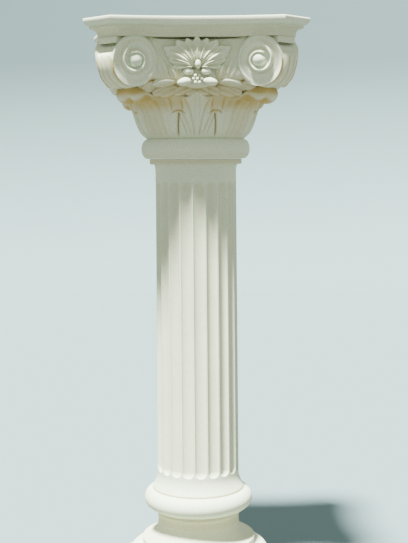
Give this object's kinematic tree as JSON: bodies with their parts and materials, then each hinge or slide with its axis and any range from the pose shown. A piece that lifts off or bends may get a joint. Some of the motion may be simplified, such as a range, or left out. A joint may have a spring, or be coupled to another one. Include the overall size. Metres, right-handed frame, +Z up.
{
  "type": "composite column pedestal",
  "caption": "Free-standing cast stone pedestal column with a moulded base, a fluted shaft and a composite capital of leaves and corner volutes under a hollow-sided abacus.",
  "frame": {"origin": "on the ground under the middle of the plinth", "axes": "+Z up along the column's axis, -Y out of the front face, +X to the right seen from the front"},
  "size_m": [0.386, 0.386, 1.0471],
  "materials": {
    "cast_stone": "matt, fine sandy cast surface"
  },
  "bodies": {
    "root": {"base": "cast_stone", "shaft": "cast_stone", "capital": "cast_stone"}
  },
  "joints": []
}
